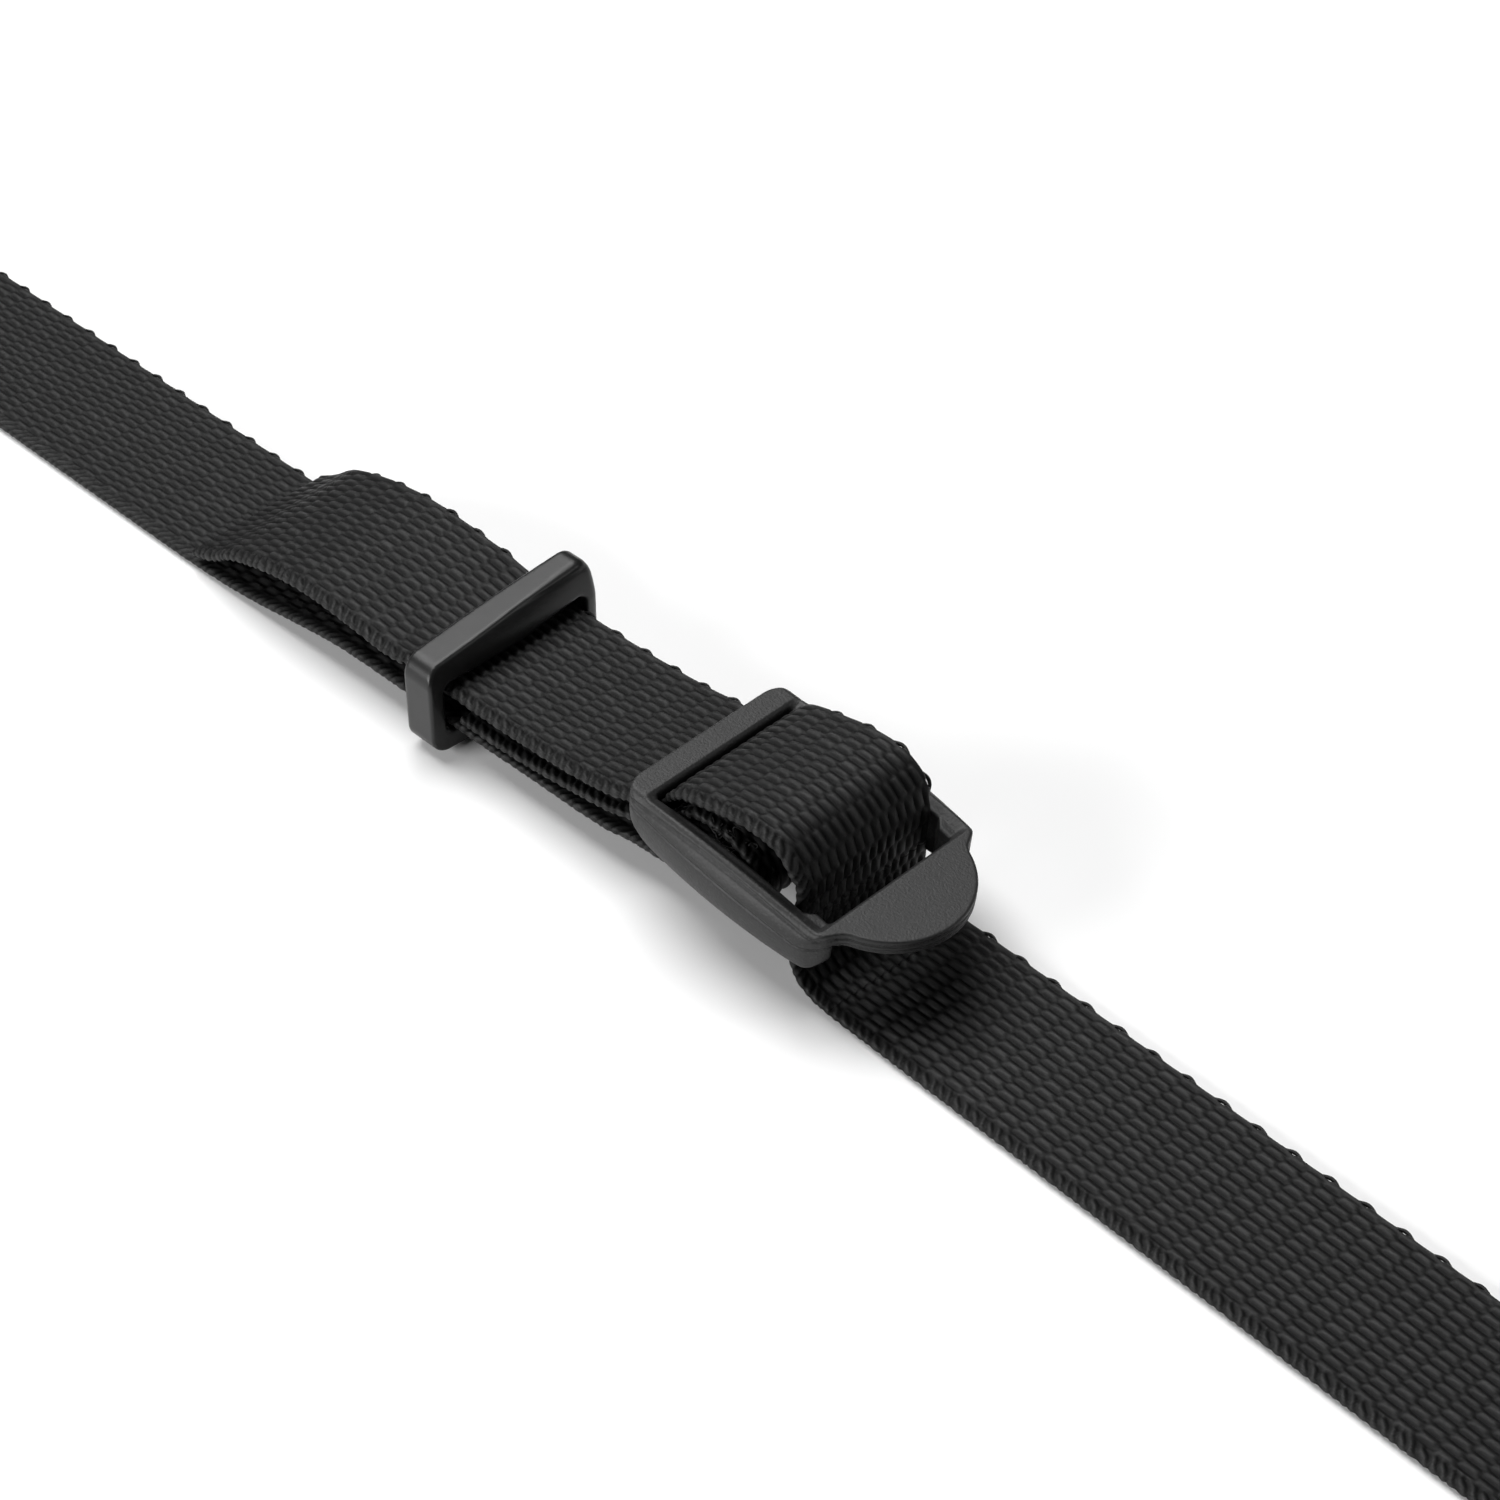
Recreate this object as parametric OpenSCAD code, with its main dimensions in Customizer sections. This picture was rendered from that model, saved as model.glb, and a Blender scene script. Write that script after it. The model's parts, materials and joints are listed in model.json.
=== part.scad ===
// Narrow webbing guitar strap with a ladder-lock buckle, a keeper loop and leather button ends.
// X runs along the strap from the front end to the rear end, Y across it and Z up.
// The origin is the front button hole, at the face that the strap lies on.

/* [Webbing] */
// Width of the webbing
webbing_w = 24.4; // [20:0.1:30]
// Thickness of the webbing
webbing_t = 1.4; // [1.1:0.05:1.8]
// Gap between pieces that move past each other
clear = 0.3; // [0.2:0.05:0.4]
// How much narrower than the webbing the buckle's slot is
pinch = 0.4; // [0:0.1:1]

/* [Strap layout] */
// Straight webbing from the front fold to the start of the rise to the keeper
front_run_l = 86; // [60:1:200]
// Straight webbing from the buckle's foot to the rear fold
rear_run_l = 110; // [70:1:200]
// Sideways angle at which the rear half leaves the buckle
lay_angle = 2; // [0:0.5:4]
// Length of each leg of the folded spare webbing
fold_l = 76; // [50:1:140]
// Height from one folded leg to the next
fold_pitch = 3.2; // [2.6:0.1:5]
// Length over which the top leg comes down to the leather
drop_l = 26; // [18:1:40]

/* [Adjuster buckle] */
// Length of the slot between the rear bar and the front plate
slot_l = 29.4; // [26:0.2:34]
// Distance from the rear edge of the slot to the middle bar's axis
bar_back = 13.55; // [11.5:0.05:14]
// Width of the middle bar along the strap
bar_w = 6; // [5:0.1:7]
// Thickness of the middle bar
bar_t = 3; // [2.4:0.1:3.6]
// Height of the middle bar's axis above the resting face
bar_z = 11.2; // [10.5:0.1:13]
// Height of the buckle's top face above the middle bar's axis
top_h = 5.1; // [4.5:0.1:6]
// Length of the rear bar along the strap
rear_bar_l = 4; // [3:0.1:5]
// Thickness of the rear bar
rear_bar_t = 3; // [2.4:0.1:3.4]
// Thickness of the front plate and the thumb tab
plate_t = 2; // [1.6:0.1:2.4]
// Width of a side rail at its belly
rail_w = 3; // [2.4:0.1:4]
// Depth of the side rails under the top face
rail_h = 7.6; // [6.4:0.1:8]
// How far the side rails swell outwards and upwards between the bars
rail_bow = 1; // [0:0.1:1.5]
// Radius of the thumb tab
tab_r = 11.4; // [9:0.1:13]
// How far the thumb tab stands out from the frame
tab_reach = 8.3; // [7:0.1:9]
// Forward lean of the buckle at rest
lean = 5.8; // [3:0.1:8]

/* [Keeper loop] */
// Length of the keeper along the strap
keeper_l = 5.4; // [3:0.1:8]
// Thickness of the keeper's upright walls
keeper_wall = 2.5; // [2:0.1:4]
// Thickness of the keeper's lower bar
keeper_floor = 2.8; // [2:0.1:3.6]
// Thickness of the keeper's upper bar
keeper_roof = 4.4; // [2.4:0.1:5.4]
// Gap from the rear of the buckle to the keeper
keeper_gap = 35.1; // [30:0.1:44]
// Height at which the webbing holds the keeper off the resting face
keeper_lift = 0.6; // [0.3:0.1:1.2]
// Free height inside the keeper above and below the webbing
keeper_room = 0.8; // [0.5:0.05:0.9]
// Slack between the tail and the layers under it
layer_slack = 2.3; // [1.6:0.1:3]

/* [Leather button ends] */
// Thickness of the button leather
leather_t = 2; // [1.5:0.1:3]
// Thickness of the cover leather over the webbing's end
cover_t = 1.6; // [1.2:0.1:2.4]
// Width of the button leather
leather_w = 30; // [28:0.5:40]
// Radius of the leather's nose round the button hole
nose_r = 11; // [9:0.5:14]
// Radius of the button hole
hole_r = 4; // [3.5:0.1:5]
// Length of the slit that lets the button through
slit_l = 10; // [7:0.5:14]
// Width of that slit
slit_w = 1.2; // [0.8:0.1:2]
// Length of webbing sewn between the leathers
overlap_l = 26; // [20:1:34]
// Distance from the end of the webbing to the button hole
hole_reach = 26; // [20:1:34]
// Pitch of the stitches
stitch_pitch = 3.2; // [2.4:0.1:4]
// Thickness of the sewing thread
thread_d = 0.5; // [0.3:0.05:0.8]

/* [Hidden] */
$fn = 64;
half_t = webbing_t / 2;
slot_w = webbing_w - pinch;
pinched_w = slot_w - 2 * clear;

// Heights of the webbing's layers at the keeper, at mid thickness.
main_z = keeper_lift + keeper_floor + keeper_room + half_t;
fold_back_z = main_z + webbing_t + 0.1;
tail_z = main_z + 2 * webbing_t + layer_slack;

// Places along X, from the middle bar's axis.
slot_rear = -bar_back;
slot_front = slot_l - bar_back;
buckle_rear = slot_rear - rear_bar_l;
plate_front = slot_front + 2.05;
keeper_x = buckle_rear - keeper_gap - keeper_l;
rise_x = keeper_x - 54;
foot_x = slot_front + 2.15;
pivot_x = slot_front - 4.8;

// The fold's place and the frame's origin.
front_fold_x = rise_x - front_run_l;
leather_rest = leather_t + half_t;
hole_from_fold = fold_l + drop_l + overlap_l + hole_reach;
bar_x = hole_from_fold - front_fold_x;

// Smooth curve through hand-chosen points, with n steps between each two.
function spline(p, n) = concat([
    for (i = [0 : len(p) - 2])
        let (a = p[max(i - 1, 0)], b = p[i], c = p[i + 1], d = p[min(i + 2, len(p) - 1)])
            for (k = [0 : n - 1])
                let (s = k / n)
                    0.5 * (2 * b + (c - a) * s + (2 * a - 5 * b + 4 * c - d) * s * s
                        + (3 * b - a - 3 * c + d) * s * s * s)
], [p[len(p) - 1]]);

function unit(v) = v / norm(v);

// Direction of a path at its point i.
function heading(p, i) = unit(
    (i > 0 ? unit(p[i] - p[i - 1]) : [0, 0])
    + (i < len(p) - 1 ? unit(p[i + 1] - p[i]) : [0, 0]));

// The path moved sideways by d.
function beside(p, d) = [
    for (i = [0 : len(p) - 1]) let (h = heading(p, i)) p[i] + d * [-h[1], h[0]]
];

function back_to_front(p) = [for (i = [len(p) - 1 : -1 : 0]) p[i]];

// The closed outline of a webbing of the full thickness along points first to last of a path.
function band(p, first, last) = let (
    up = beside(p, half_t),
    down = beside(p, -half_t)
) concat([for (i = [first : last]) up[i]], [for (i = [last : -1 : first]) down[i]]);

// Steps of the smooth curves between their chosen points.
step = 4;

// Front webbing: from the fold, over the keeper's lower bar and to the middle bar.
loop_r = bar_t / 2 + clear + half_t + 0.3;
loop_x = (bar_w - bar_t) / 2;
main_points = [
    [rise_x, half_t], [rise_x + 8, half_t + 0.25], [rise_x + 17, half_t + 1.1],
    [rise_x + 27, main_z - 1.5], [rise_x + 36, main_z - 0.3], [keeper_x - 8, main_z],
    [keeper_x + 2, main_z], [keeper_x + 12, main_z], [keeper_x + 22, main_z + 0.25],
    [slot_rear - 13.25, bar_z - loop_r - 3.1], [slot_rear - 3.25, bar_z - loop_r - 2.4],
    [slot_rear + 4.75, bar_z - loop_r - 1.7]
];
// Anchor loop: round the middle bar, up under the bight and back over the front webbing.
loop_points = [
    [slot_rear + 4.75, bar_z - loop_r - 1.7], [-3.5, bar_z - loop_r - 0.5],
    [loop_x, bar_z - loop_r], [loop_x + loop_r * 0.74, bar_z - loop_r * 0.68],
    [loop_x + loop_r, bar_z], [loop_x + loop_r - 0.1, bar_z + 2.1],
    [loop_x + loop_r - 1.3, bar_z + 4.3], [0.2, bar_z + 6], [-3, bar_z + 6.8],
    [slot_rear + 6.75, bar_z + 6.3], [slot_rear + 4.35, bar_z + 4.5],
    [slot_rear + 2.95, bar_z + 2.4], [slot_rear + 1.15, bar_z + 0.4],
    [slot_rear - 2.25, bar_z - 1], [slot_rear - 7.25, bar_z - 2], [slot_rear - 13.25, bar_z - 2.9],
    [keeper_x + 24, fold_back_z + 0.9], [keeper_x + 15, fold_back_z + 0.1],
    [keeper_x + keeper_l + 2, fold_back_z]
];
anchor_points = concat([for (i = [0 : len(main_points) - 2]) main_points[i]], loop_points);
anchor_path = spline(anchor_points, step);
anchor_split = step * (len(main_points) - 1);

// Running webbing: from the foot under the buckle, over the middle bar and back to the tail's tip.
under_bar_z = bar_z + top_h - rear_bar_t + bar_back * sin(lean) - clear - half_t;
running_points = [
    [foot_x, half_t], [foot_x - 3.4, half_t + 0.3], [foot_x - 5.8, half_t + 1.5],
    [foot_x - 7.1, half_t + 3.7], [foot_x - 7.4, half_t + 6.5], [foot_x - 7, bar_z - 0.8],
    [slot_front - 4.6, bar_z + 2.4], [slot_front - 4.4, bar_z + 5.6], [slot_front - 5.6, bar_z + 8.6],
    [slot_front - 8, bar_z + 10.5], [slot_front - 11.4, bar_z + 11.1], [0.6, bar_z + 10.8],
    [-3.2, bar_z + 10], [slot_rear + 5.1, bar_z + 8.6], [slot_rear + 2.6, bar_z + 6.7],
    [slot_rear + 1.4, bar_z + 4.7], [slot_rear + 1.05, under_bar_z + 0.71],
    [slot_rear - 0.75, under_bar_z - 0.29], [slot_rear - 3.75, under_bar_z - 0.79],
    [slot_rear - 9.25, bar_z + 0.6], [slot_rear - 15.25, tail_z + 0.9],
    [slot_rear - 23.25, tail_z + 0.3], [keeper_x + 14, tail_z], [keeper_x + 4, tail_z],
    [keeper_x - 4, tail_z + 0.1], [keeper_x - 12, tail_z + 0.8], [keeper_x - 20, tail_z + 1.35],
    [keeper_x - 26, tail_z + 1.3], [keeper_x - 32, tail_z + 0.5], [keeper_x - 37, tail_z - 0.7],
    [keeper_x - 42, tail_z - 2.5], [keeper_x - 46, half_t + webbing_t + 2.7],
    [keeper_x - 50, half_t + webbing_t + 0.7]
];
running_path = spline(running_points, step);
// Chosen points at which the running webbing is divided.
foot_end = 5;
bight_end = 16;
run_end = 24;
arch_end = 30;

// Folded spare webbing, from its inner end: three legs, the drop and the end on the leather.
function fold_turn(x, z, side) = [
    for (a = [-90 : 15 : 90]) [x + side * fold_pitch / 2 * cos(a), z + fold_pitch / 2 * sin(a)]
];
fold_top = half_t + 2 * fold_pitch;
fold_path = concat(
    [[0, half_t]],
    fold_turn(fold_l, half_t + fold_pitch / 2, 1),
    fold_turn(2, half_t + 1.5 * fold_pitch, -1),
    [for (s = [0 : 0.1 : 1])
        [fold_l + drop_l * s, fold_top + (leather_rest - fold_top) * (1 - cos(180 * s)) / 2]],
    [[fold_l + drop_l + overlap_l, leather_rest]]
);

// Moves what is drawn about the middle bar to its place in the frame.
module at_bar() {
    translate([bar_x, 0, 0]) children();
}

// Turns the front end's pieces, drawn outwards from the fold's inner end.
module at_front() {
    at_bar() translate([front_fold_x, 0, 0]) mirror([1, 0, 0]) children();
}

// The rear half's own direction, which starts at the buckle's foot.
module at_foot() {
    at_bar() translate([pivot_x, 0, 0]) rotate([0, 0, -lay_angle]) children();
}

module at_rear() {
    at_foot() translate([foot_x + rear_run_l - pivot_x, 0, 0]) children();
}

// An outline in X and Z, drawn through a width in Y.
module across(w) {
    rotate([90, 0, 0]) translate([0, 0, -w / 2]) linear_extrude(w) children();
}

// Plan of the webbing, which the buckle's rails pinch a little.
module pinched_plan() {
    wide = webbing_w / 2;
    narrow = pinched_w / 2;
    translate([0, 0, -1]) linear_extrude(bar_z + 30) polygon([
        [front_fold_x, wide], [buckle_rear - 5, wide], [buckle_rear - 1, narrow],
        [slot_front - 4, narrow], [slot_front + 2, wide], [foot_x + 1, wide],
        [foot_x + 1, -wide], [slot_front + 2, -wide], [slot_front - 4, -narrow],
        [buckle_rear - 1, -narrow], [buckle_rear - 5, -wide], [front_fold_x, -wide]
    ]);
}

module webbing_piece(path, first, last) {
    color("#2b2c2e") at_bar() intersection() {
        across(webbing_w) polygon(band(path, first, last));
        pinched_plan();
    }
}

module front_webbing() {
    path = concat([[front_fold_x, half_t]], anchor_path);
    webbing_piece(path, 0, anchor_split + 1);
}

module anchor_loop() {
    webbing_piece(anchor_path, anchor_split, len(anchor_path) - 1);
}

// Three rows of tacks that sew the anchor loop's end to the front webbing.
module anchor_stitching() {
    rows = 3;
    row_gap = 2.6;
    tacks = 7;
    low = main_z - half_t - thread_d / 2;
    high = fold_back_z + half_t + thread_d;
    row_w = webbing_w - 7;
    color("#1d1d1f") at_bar() for (r = [0 : rows - 1])
        translate([keeper_x + keeper_l + 4 + r * row_gap, 0, 0]) {
            for (k = [0 : tacks - 1])
                translate([0, row_w * (k / (tacks - 1) - 0.5), low])
                    cylinder(h = high - low, d = thread_d);
            for (z = [low, high - thread_d])
                translate([-thread_d / 2, -row_w / 2, z]) cube([thread_d, row_w, thread_d]);
        }
}

// A bar of the keeper's plan: wider in the middle than at its ends.
module keeper_plan() {
    half_w = webbing_w / 2 + 0.5 + keeper_wall;
    swell = 0.6;
    polygon([
        [0, -half_w], [keeper_l, -half_w], [keeper_l + swell, 0], [keeper_l, half_w],
        [0, half_w], [-swell, 0]
    ]);
}

module rounded_rect(w, h, r) {
    translate([-w / 2 + r, 0]) square([w - 2 * r, h]);
    translate([-w / 2, r]) square([w, h - 2 * r]);
    for (x = [-w / 2 + r, w / 2 - r], y = [r, h - r]) translate([x, y]) circle(r);
}

module keeper_loop() {
    opening_w = webbing_w + 1;
    opening_h = tail_z + half_t + keeper_room - keeper_lift - keeper_floor;
    outer_w = opening_w + 2 * keeper_wall;
    outer_h = keeper_floor + opening_h + keeper_roof;
    color("#3a3b3d") at_bar() translate([keeper_x, 0, keeper_lift]) intersection() {
        translate([keeper_l + 2, 0, 0]) rotate([90, 0, -90]) linear_extrude(keeper_l + 4)
            difference() {
                rounded_rect(outer_w, outer_h, 3.2);
                translate([0, keeper_floor]) rounded_rect(opening_w, opening_h, 1.2);
            }
        translate([0, 0, -1]) linear_extrude(outer_h + 2) keeper_plan();
    }
}

// Side view of the rails: flat on top, with a belly below.
module rail_side() {
    belly = spline([
        [buckle_rear, top_h - 2.4], [buckle_rear + 2.7, top_h - 0.6 * rail_h],
        [buckle_rear + 6.7, top_h - 0.94 * rail_h], [-3, top_h - rail_h],
        [6, top_h - rail_h], [slot_front - 3.5, top_h - 0.95 * rail_h],
        [slot_front, top_h - 0.8 * rail_h], [plate_front, top_h - plate_t - 1.4]
    ], step);
    crest = spline([
        [slot_front, top_h], [slot_front - slot_l / 4, top_h + 0.75 * rail_bow],
        [slot_front - slot_l / 2, top_h + rail_bow], [slot_rear + slot_l / 4, top_h + 0.75 * rail_bow],
        [slot_rear, top_h]
    ], step);
    polygon(concat(
        belly,
        [[plate_front, top_h - plate_t], [plate_front + tab_r, top_h - plate_t]],
        [[plate_front + tab_r, top_h]], crest, [[buckle_rear, top_h]]
    ));
}

// Plan of the whole buckle: a frame with rounded corners and the thumb tab.
module buckle_plan() {
    outer_w = slot_w + 2 * rail_w;
    corner_r = 4;
    frame_l = plate_front - buckle_rear;
    translate([buckle_rear + frame_l / 2, -outer_w / 2])
        rounded_rect(frame_l, outer_w, corner_r);
    polygon([for (side = [-1, 1], k = [-8 : 8])
        [(slot_rear + slot_front) / 2 + side * k * slot_l / 16,
            side * (outer_w / 2 + rail_bow * (1 - k * k / 64))]]);
    translate([plate_front - tab_r + tab_reach, 0]) circle(tab_r);
}

// Section of the buckle across the strap: narrow at the top, with bellied outer faces.
module rail_section() {
    half_w = slot_w / 2;
    rim = half_w + rail_w * 0.55 + rail_bow;
    side = [
        for (a = [-60 : 15 : 60])
            [
                half_w + rail_w + rail_bow - rail_h * 0.9 * (1 - cos(a)) * 0.45,
                top_h - rail_h / 2 + rail_h * 0.5 * sin(a)
            ]
    ];
    polygon(concat(
        [[-rim, top_h + rail_bow]],
        [for (i = [len(side) - 1 : -1 : 0]) [-side[i][0], side[i][1]]],
        [[-rim, top_h - rail_h - 1], [rim, top_h - rail_h - 1]],
        side,
        [[rim, top_h + rail_bow]]
    ));
}

module adjuster_buckle() {
    color("#404143") at_bar() translate([0, 0, bar_z]) rotate([0, lean, 0]) {
        difference() {
            intersection() {
                across(slot_w + 2 * (rail_w + rail_bow) + 2) rail_side();
                translate([0, 0, -rail_h]) linear_extrude(3 * rail_h) buckle_plan();
                translate([buckle_rear - 2, 0, 0]) rotate([90, 0, 90])
                    linear_extrude(slot_l + 30) rail_section();
            }
            translate([slot_rear, -slot_w / 2, -2 * rail_h]) cube([slot_l, slot_w, 4 * rail_h]);
            translate([buckle_rear - 1, -slot_w / 2, top_h - rear_bar_t - 2 * rail_h])
                cube([rear_bar_l + 2, slot_w, 2 * rail_h]);
            translate([slot_front - 1, -slot_w / 2, top_h - plate_t - 2 * rail_h])
                cube([tab_r + 10, slot_w, 2 * rail_h]);
        }
        across(slot_w + rail_w) translate([0, -bar_t / 2]) rounded_rect(bar_w, bar_t, bar_t / 2 - 0.05);
    }
}

module rear_foot() {
    webbing_piece(running_path, 0, foot_end * step);
}

module adjuster_bight() {
    webbing_piece(running_path, foot_end * step, bight_end * step);
}

module tail_run() {
    webbing_piece(running_path, bight_end * step, run_end * step);
}

module tail_arch() {
    webbing_piece(running_path, run_end * step, arch_end * step);
}

module tail_tip() {
    webbing_piece(running_path, arch_end * step, len(running_path) - 1);
}

module rear_run() {
    start = foot_x - pivot_x + 0.6;
    color("#2b2c2e") at_foot() translate([start, -webbing_w / 2, 0])
        cube([rear_run_l - 0.6, webbing_w, webbing_t]);
}

module folded_webbing() {
    color("#2b2c2e") across(webbing_w) polygon(band(fold_path, 0, len(fold_path) - 1));
}

// Place of the button hole, from the fold's inner end.
module at_hole() {
    translate([hole_from_fold, 0, 0]) children();
}

module tab_leather() {
    tail_l = hole_reach + overlap_l + 4;
    taper_l = 26;
    color("#232021") at_hole() linear_extrude(leather_t) difference() {
        union() {
            circle(nose_r);
            translate([-tail_l, -leather_w / 2 + 3]) square([tail_l - taper_l, leather_w - 6]);
            translate([-tail_l + 3, -leather_w / 2]) square([tail_l - taper_l - 3, leather_w]);
            for (y = [-1, 1])
                translate([-tail_l + 3, y * (leather_w / 2 - 3)]) circle(3);
            polygon([
                [-taper_l, -leather_w / 2], [-1.8, -nose_r * 0.985], [-1.8, nose_r * 0.985],
                [-taper_l, leather_w / 2]
            ]);
        }
        circle(hole_r);
        translate([-hole_r - slit_l, -slit_w / 2]) square([slit_l + 1, slit_w]);
        translate([-hole_r - slit_l, 0]) circle(slit_w);
    }
}

cover_l = overlap_l - 1;
cover_w = leather_w - 2;

module tab_cover() {
    color("#232021") at_hole()
        translate([-hole_reach - overlap_l / 2, -cover_w / 2, leather_t + webbing_t])
            linear_extrude(cover_t) rounded_rect(cover_l, cover_w, 3);
}

// A box of single stitches on top of the cover leather.
module tab_stitching() {
    seam_l = cover_l - 6;
    seam_w = webbing_w - 5;
    along = round(seam_l / stitch_pitch);
    over = round(seam_w / stitch_pitch);
    stitch_l = stitch_pitch * 0.7;
    color("#3c3c3e") at_hole()
        translate([-hole_reach - overlap_l / 2, 0, leather_t + webbing_t + cover_t]) {
            for (k = [0 : along - 1], y = [-seam_w / 2, seam_w / 2])
                translate([seam_l * ((k + 0.5) / along - 0.5) - stitch_l / 2, y - thread_d / 2, 0])
                    cube([stitch_l, thread_d, thread_d / 2]);
            for (k = [0 : over - 1], x = [-seam_l / 2, seam_l / 2])
                translate([x - thread_d / 2, seam_w * ((k + 0.5) / over - 0.5) - stitch_l / 2, 0])
                    cube([thread_d, stitch_l, thread_d / 2]);
        }
}

at_front() tab_leather();  // front_tab_leather
at_front() tab_cover();  // front_tab_cover
at_front() tab_stitching();  // front_tab_stitching
at_front() folded_webbing();  // front_folded_webbing
front_webbing();
anchor_loop();
anchor_stitching();
keeper_loop();
adjuster_buckle();
adjuster_bight();
tail_run();
tail_arch();
tail_tip();
rear_foot();
rear_run();
at_rear() folded_webbing();  // rear_folded_webbing
at_rear() tab_leather();  // rear_tab_leather
at_rear() tab_cover();  // rear_tab_cover
at_rear() tab_stitching();  // rear_tab_stitching
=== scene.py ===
"""A narrow webbing guitar strap: the looks of its webbing, buckle, keeper, leather ends and thread.

Sizes are in millimetres until a mesh is made. Places along the strap are measured from the
buckle's middle bar, as they are in the part's source.
"""
import json
import math

import bpy
import numpy as np
from mathutils import Matrix, Vector


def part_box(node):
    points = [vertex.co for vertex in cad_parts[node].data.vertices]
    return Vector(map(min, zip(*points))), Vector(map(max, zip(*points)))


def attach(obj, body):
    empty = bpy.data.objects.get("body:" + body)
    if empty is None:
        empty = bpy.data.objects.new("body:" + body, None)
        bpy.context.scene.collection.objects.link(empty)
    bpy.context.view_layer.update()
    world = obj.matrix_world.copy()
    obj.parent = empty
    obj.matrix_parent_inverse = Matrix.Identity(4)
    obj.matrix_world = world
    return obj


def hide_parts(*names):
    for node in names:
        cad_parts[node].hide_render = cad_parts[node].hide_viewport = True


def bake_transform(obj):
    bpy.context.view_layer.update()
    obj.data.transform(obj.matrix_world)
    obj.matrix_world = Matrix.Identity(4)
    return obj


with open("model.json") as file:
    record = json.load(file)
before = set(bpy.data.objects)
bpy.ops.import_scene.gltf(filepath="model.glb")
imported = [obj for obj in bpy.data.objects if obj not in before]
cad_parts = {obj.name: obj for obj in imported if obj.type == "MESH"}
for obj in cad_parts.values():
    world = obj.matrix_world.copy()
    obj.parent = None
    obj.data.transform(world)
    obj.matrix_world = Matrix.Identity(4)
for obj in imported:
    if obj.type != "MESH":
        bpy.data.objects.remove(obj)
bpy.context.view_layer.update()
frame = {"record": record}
MM = 0.001

# ---------------------------------------------------------------- driving sizes

joint = {j["name"]: j for j in frame["record"]["behaviour"]["joints"]}
BAR_X, _, BAR_Z = (c / MM for c in joint["buckle_tilt"]["pos_m"])
LAY = math.radians(2)  # how far the rear half lies to one side
LEAN = math.radians(5.8)  # how far the buckle tips about its middle bar
CLEAR = 0.3
WEBBING_W = 24.4
WEBBING_T = 1.4
HALF_T = WEBBING_T / 2
SLOT_W = 24.0
SLOT_L = 29.4
BAR_BACK = 13.55
BAR_W, BAR_T = 6.0, 3.0
TOP_H = 5.1
REAR_BAR_L, REAR_BAR_T = 4.0, 3.0
PLATE_T = 2.4
RAIL_W, RAIL_H, RAIL_BOW = 3.0, 7.6, 1.0
TAB_R, TAB_REACH = 11.4, 8.3
SLOT_REAR = -BAR_BACK
SLOT_FRONT = SLOT_L - BAR_BACK
BUCKLE_REAR = SLOT_REAR - REAR_BAR_L
PLATE_FRONT = SLOT_FRONT + 2.05
KEEPER_L, KEEPER_WALL, KEEPER_FLOOR, KEEPER_ROOF = 5.4, 2.5, 2.8, 4.4
KEEPER_GAP = 35.1
KEEPER_X = BUCKLE_REAR - KEEPER_GAP - KEEPER_L
KEEPER_LIFT, KEEPER_ROOM = 0.6, 0.8
KEEPER_SLOPE = 0.085  # the keeper's top and the tail behind it fall towards the near side
LAYER_SLACK = 2.3
FRONT_RUN_L, REAR_RUN_L, RISE_L = 86, 110, 54
MAIN_Z = KEEPER_LIFT + KEEPER_FLOOR + KEEPER_ROOM + HALF_T
FOLD_BACK_Z = MAIN_Z + WEBBING_T + 0.1
TAIL_Z = MAIN_Z + 2 * WEBBING_T + LAYER_SLACK
RISE_X = KEEPER_X - RISE_L
FRONT_FOLD_X = RISE_X - FRONT_RUN_L
FOOT_X = SLOT_FRONT + 2.15
REAR_FOLD_X = FOOT_X + REAR_RUN_L
PIVOT_X = SLOT_FRONT - 4.8

# The weave: floats side by side across the webbing, in rows that are half a float out of step.
FLOAT_PITCH = 2.79
FLOAT_W = 1.52
FLOAT_DEPTH = 0.52
SCALLOP_PITCH = 2 * FLOAT_PITCH
LOOP_SPAN = 1.9  # half the room that a selvage loop needs along the webbing
WOVEN_HALF_W = WEBBING_W / 2 - 0.05


def eased(t):
    """A smooth step from 0 to 1."""
    return t * t * (3 - 2 * t)


def hashed(*keys):
    """A repeatable number from 0 to 1 for each place, from whole-number keys."""
    total = sum(np.asarray(k, float) * f for k, f in zip(keys, (12.9898, 78.233, 37.719)))
    return np.mod(np.sin(total) * 43758.5453, 1.0)


def spline(points, steps=12):
    """A smooth curve through given points."""
    p = np.array(points, float)
    padded = np.vstack([p[:1], p, p[-1:]])
    s = np.linspace(0, 1, steps, endpoint=False)[:, None]
    spans = []
    for a, b, c, d in zip(padded, padded[1:], padded[2:], padded[3:]):
        spans.append(0.5 * (2 * b + (c - a) * s + (2 * a - 5 * b + 4 * c - d) * s**2
                            + (3 * b - a - 3 * c + d) * s**3))
    return np.vstack(spans + [p[-1:]])


# ---------------------------------------------------------------- the webbing's routes

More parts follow.
